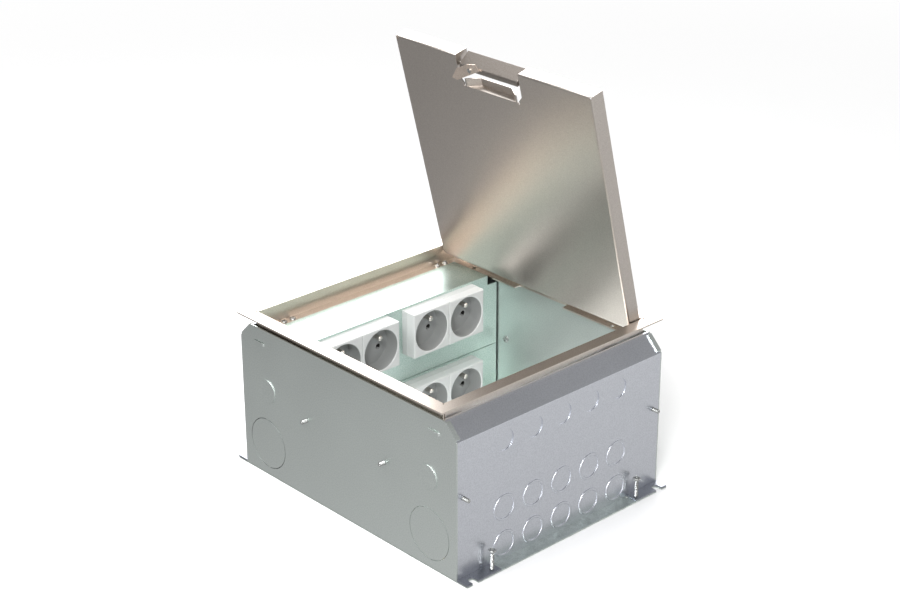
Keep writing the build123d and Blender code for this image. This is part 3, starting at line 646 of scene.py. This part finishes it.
def white_floor():
    """White paper for the camera, and a grey card, lighter to the right, for the metal to mirror."""
    paper_scale = 3.0
    card_left, card_right = -0.55, 0.4
    card_dark, card_light = 0.32, 0.66
    fade_start, fade_end = 0.5, 2.0
    material, tree, place = start_material("studio_floor")
    noise = add(tree, "ShaderNodeTexNoise", Vector=place, Scale=paper_scale)
    paper = add(tree, "ShaderNodeBsdfDiffuse", Color=shade(tree, noise.outputs["Fac"], "#FAFAFA", "#FEFEFE"))
    away = add(tree, "ShaderNodeVectorMath", {"operation": "LENGTH"}, Vector=place)
    fade = add(tree, "ShaderNodeMapRange", {"interpolation_type": "SMOOTHSTEP"}, Value=away.outputs["Value"],
               From_Min=fade_start, From_Max=fade_end)
    surround = add(tree, "ShaderNodeEmission", Color=linear("#FFFFFF"), Strength=1.0)
    ground = add(tree, "ShaderNodeMixShader", Fac=fade.outputs["Result"], Shader=paper.outputs["BSDF"],
                 Shader_001=surround.outputs["Emission"])
    across = add(tree, "ShaderNodeSeparateXYZ", Vector=place)
    card_level = add(tree, "ShaderNodeMapRange", Value=across.outputs["X"], From_Min=card_left,
                     From_Max=card_right, To_Min=card_dark, To_Max=card_light)
    card = add(tree, "ShaderNodeEmission", Color=linear("#FFFFFF"), Strength=card_level.outputs["Result"])
    seen = add(tree, "ShaderNodeLightPath").outputs["Is Camera Ray"]
    mixed = add(tree, "ShaderNodeMixShader", Fac=seen, Shader=card.outputs["Emission"],
                Shader_001=ground.outputs["Shader"])
    add(tree, "ShaderNodeOutputMaterial", Surface=mixed.outputs["Shader"])
    return material


def soft_surround(plain_level, panels):
    """An even grey surround with soft panels, each a direction, a strength and a tightness."""
    world = bpy.data.worlds.new("studio")
    world.use_nodes = True
    tree = world.node_tree
    tree.nodes.clear()
    level = add(tree, "ShaderNodeValue").outputs["Value"]
    level.default_value = plain_level
    toward = add(tree, "ShaderNodeTexCoord").outputs["Generated"]
    for direction, strength, tightness in panels:
        facing = add(tree, "ShaderNodeVectorMath", {"operation": "DOT_PRODUCT"}, Vector=toward,
                     Vector_001=direction)
        lit = add(tree, "ShaderNodeMath", {"operation": "MAXIMUM"}, Value=facing.outputs["Value"],
                  Value_001=0.0)
        panel = add(tree, "ShaderNodeMath", {"operation": "POWER"}, Value=lit.outputs["Value"],
                    Value_001=tightness)
        level = add(tree, "ShaderNodeMath", {"operation": "MULTIPLY_ADD"}, Value=panel.outputs["Value"],
                    Value_001=strength, Value_002=level).outputs["Value"]
    grey = add(tree, "ShaderNodeBackground", Color=linear("#FFFFFF"), Strength=level)
    white = add(tree, "ShaderNodeBackground", Color=linear("#FFFFFF"), Strength=1.0)
    seen = add(tree, "ShaderNodeLightPath").outputs["Is Camera Ray"]
    mixed = add(tree, "ShaderNodeMixShader", Fac=seen, Shader=grey.outputs["Background"],
                Shader_001=white.outputs["Background"])
    add(tree, "ShaderNodeOutputWorld", Surface=mixed.outputs["Shader"])
    return world


def soft_light(name, location, target, size, power):
    """A square lamp that the camera doesn't see."""
    light = bpy.data.lights.new(name, "AREA")
    light.size = size
    light.energy = power
    lamp = bpy.data.objects.new(name, light)
    lamp.location = location
    lamp.rotation_mode = "QUATERNION"
    lamp.rotation_quaternion = (Vector(target) - Vector(location)).to_track_quat("-Z", "Y")
    lamp.visible_camera = False
    bpy.context.scene.collection.objects.link(lamp)


floor_half = 6.0
floor_mesh = bpy.data.meshes.new("studio_floor")
floor_mesh.from_pydata([(-floor_half, -floor_half, 0), (floor_half, -floor_half, 0),
                        (floor_half, floor_half, 0), (-floor_half, floor_half, 0)], [], [(0, 1, 2, 3)])
floor_mesh.materials.append(white_floor())
floor = plain_object("studio_floor", floor_mesh)

surround_level = 0.24
behind_left = ((-0.70, 0.52, 0.49), 5.5, 12.0)
behind_right = ((0.73, 0.66, 0.15), 2.2, 24.0)
front_right = ((0.667, -0.74, 0.06), 3.0, 12.0)
bpy.context.scene.world = soft_surround(surround_level, [behind_left, behind_right, front_right])

soft_light("overhead", (-0.2, -0.8, 1.6), (0.0, 0.0, 0.1), 1.2, 24.0)
soft_light("key", (1.0, -1.2, 1.3), (0.0, 0.0, 0.1), 0.3, 16.0)
soft_light("cavity_floor", (0.03, 0.0, 0.012), (0.03, 0.0, 1.0), 0.17, 0.10)
soft_light("cavity_side", (0.138, 0.0, 0.060), (0.0, 0.0, 0.060), 0.10, 0.03)


# The camera stands to the front right and looks down on the box with a long lens. Its place was
# fitted to the photograph's corners and edges.

azimuth, elevation, roll = math.radians(47.1913), math.radians(24.2282), math.radians(-0.1506)
camera_distance, side_shift, up_shift = 1.87365, 0.000446, 0.162388
focal_pixels, picture_width, sensor_width = 1985.66, 900, 36.0
back = Vector((math.sin(azimuth) * math.cos(elevation), -math.cos(azimuth) * math.cos(elevation),
               math.sin(elevation)))
level = Vector((math.cos(azimuth), math.sin(azimuth), 0))
upright = back.cross(level)
right = level * math.cos(roll) + upright * math.sin(roll)
up = upright * math.cos(roll) - level * math.sin(roll)
axes = Matrix((right, up, back)).transposed().to_4x4()
camera = bpy.data.objects.new("camera", bpy.data.cameras.new("camera"))
bpy.context.scene.collection.objects.link(camera)
camera.data.sensor_width = sensor_width
camera.data.lens = sensor_width * focal_pixels / picture_width
camera.data.clip_start = 0.05
camera.matrix_world = Matrix.Translation(back * camera_distance + right * side_shift + up * up_shift) @ axes
bpy.context.scene.camera = camera
bpy.context.scene.view_settings.view_transform = "Standard"
